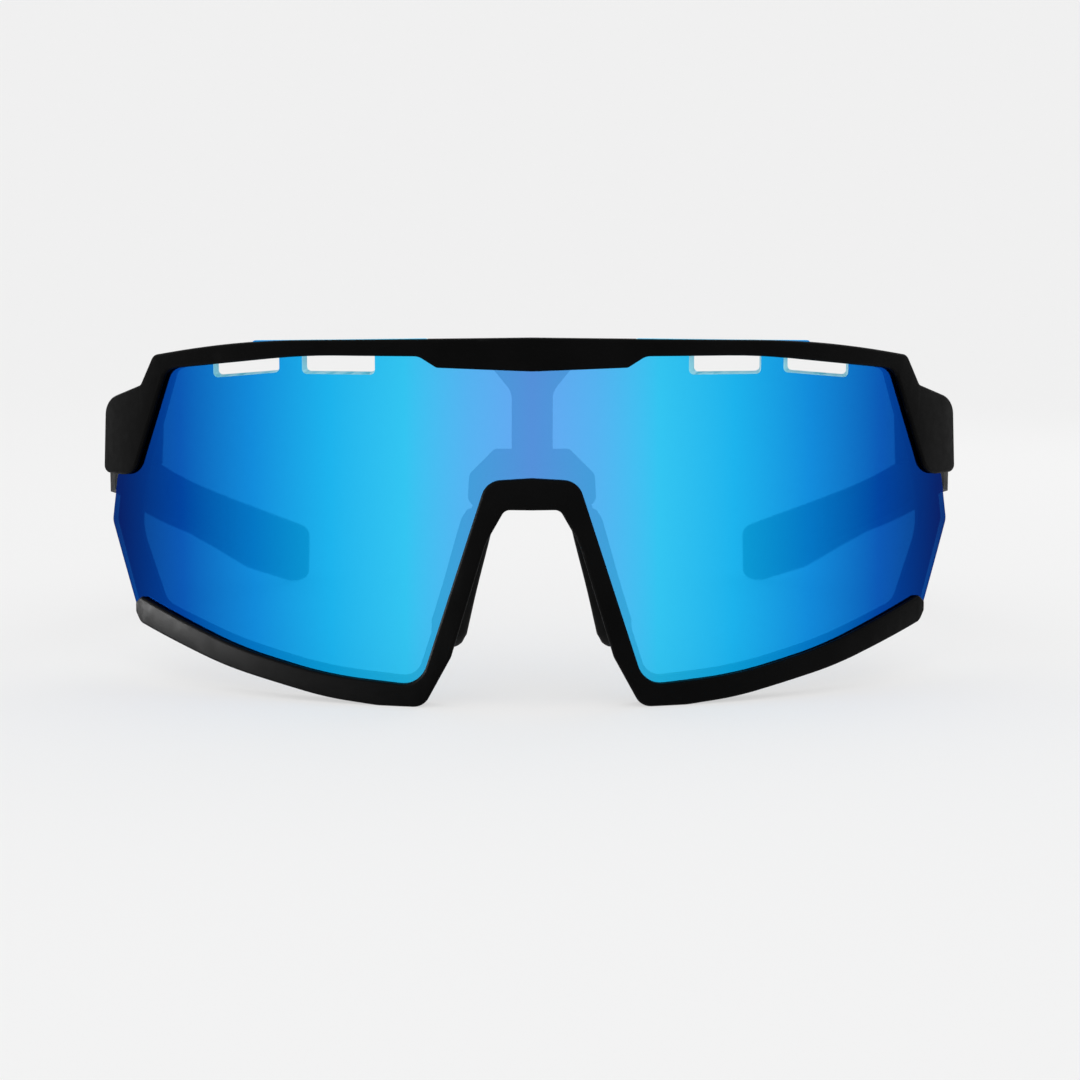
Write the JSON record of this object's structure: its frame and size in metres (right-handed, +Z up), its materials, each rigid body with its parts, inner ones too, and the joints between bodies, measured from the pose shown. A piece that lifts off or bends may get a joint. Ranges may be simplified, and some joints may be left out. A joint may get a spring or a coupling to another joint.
{
  "type": "wraparound sport sunglasses",
  "caption": "Wraparound sport sunglasses: one cylindrical mirrored shield lens in a two-piece half frame with folding rubber-tipped temples and adjustable nose pads.",
  "frame": {"origin": "bottom centre of the open glasses' box, on the level surface that they stand on", "axes": "+Z up, +X to the wearer's left, +Y back along the temples, so the lens faces -Y"},
  "size_m": [0.1472, 0.1642, 0.0582],
  "materials": {
    "frame_black": "matte moulded nylon",
    "temple_black": "matte moulded nylon",
    "lens_mirror": "polished polycarbonate with a blue mirror coat",
    "soft_rubber": "soft matte rubber",
    "screw_steel": "turned steel",
    "core_steel": "drawn wire",
    "insert_brass": "turned",
    "washer_nylon": "natural nylon"
  },
  "bodies": {
    "upper_frame": {"upper_frame": "frame_black", "nose_bridge": "frame_black", "bridge_screw_low": "screw_steel", "bridge_screw_high": "screw_steel", "hinge_screw_left": "screw_steel", "hinge_insert_left": "insert_brass", "hinge_washer_left": "washer_nylon", "hinge_screw_right": "screw_steel", "hinge_insert_right": "insert_brass", "hinge_washer_right": "washer_nylon"},
    "lower_frame": {"lower_frame": "frame_black"},
    "lens": {"lens": "lens_mirror"},
    "temple_left": {"temple_arm_left": "temple_black", "temple_tip_left": "soft_rubber", "temple_core_left": "core_steel", "temple_grip_left": "soft_rubber"},
    "nose_pad_left": {"nose_wire_left": "core_steel", "nose_pad_left": "soft_rubber"},
    "temple_right": {"temple_arm_right": "temple_black", "temple_tip_right": "soft_rubber", "temple_core_right": "core_steel", "temple_grip_right": "soft_rubber"},
    "nose_pad_right": {"nose_wire_right": "core_steel", "nose_pad_right": "soft_rubber"}
  },
  "joints": [
    {"name": "temple_left_fold", "type": "hinge", "parent": "upper_frame", "child": "temple_left", "pos_m": [0.069, -0.0251, 0.0415], "axis": [0, 0.2284, 0.9736], "range_deg": [0, 92]},
    {"name": "temple_right_fold", "type": "hinge", "parent": "upper_frame", "child": "temple_right", "pos_m": [-0.069, -0.0251, 0.0415], "axis": [0, -0.2284, -0.9736], "range_deg": [0, 78]},
    {"name": "lower_frame_release", "type": "slide", "parent": "upper_frame", "child": "lower_frame", "axis": [0, 0, -1], "range_m": [0, 0.014]},
    {"name": "lens_release", "type": "slide", "parent": "upper_frame", "child": "lens", "axis": [0, 0, -1], "range_m": [0, 0.007]},
    {"name": "nose_pad_left_spread", "type": "hinge", "parent": "upper_frame", "child": "nose_pad_left", "pos_m": [0.0074, -0.0757, 0.0334], "axis": [0, -1, 0], "range_deg": [-8, 8]},
    {"name": "nose_pad_right_spread", "type": "hinge", "parent": "upper_frame", "child": "nose_pad_right", "pos_m": [-0.0074, -0.0757, 0.0334], "axis": [0, 1, 0], "range_deg": [-8, 8]}
  ],
  "couplings": [
    {"joint": "lens_release", "follows": "lower_frame_release", "ratio": 0.5}
  ]
}
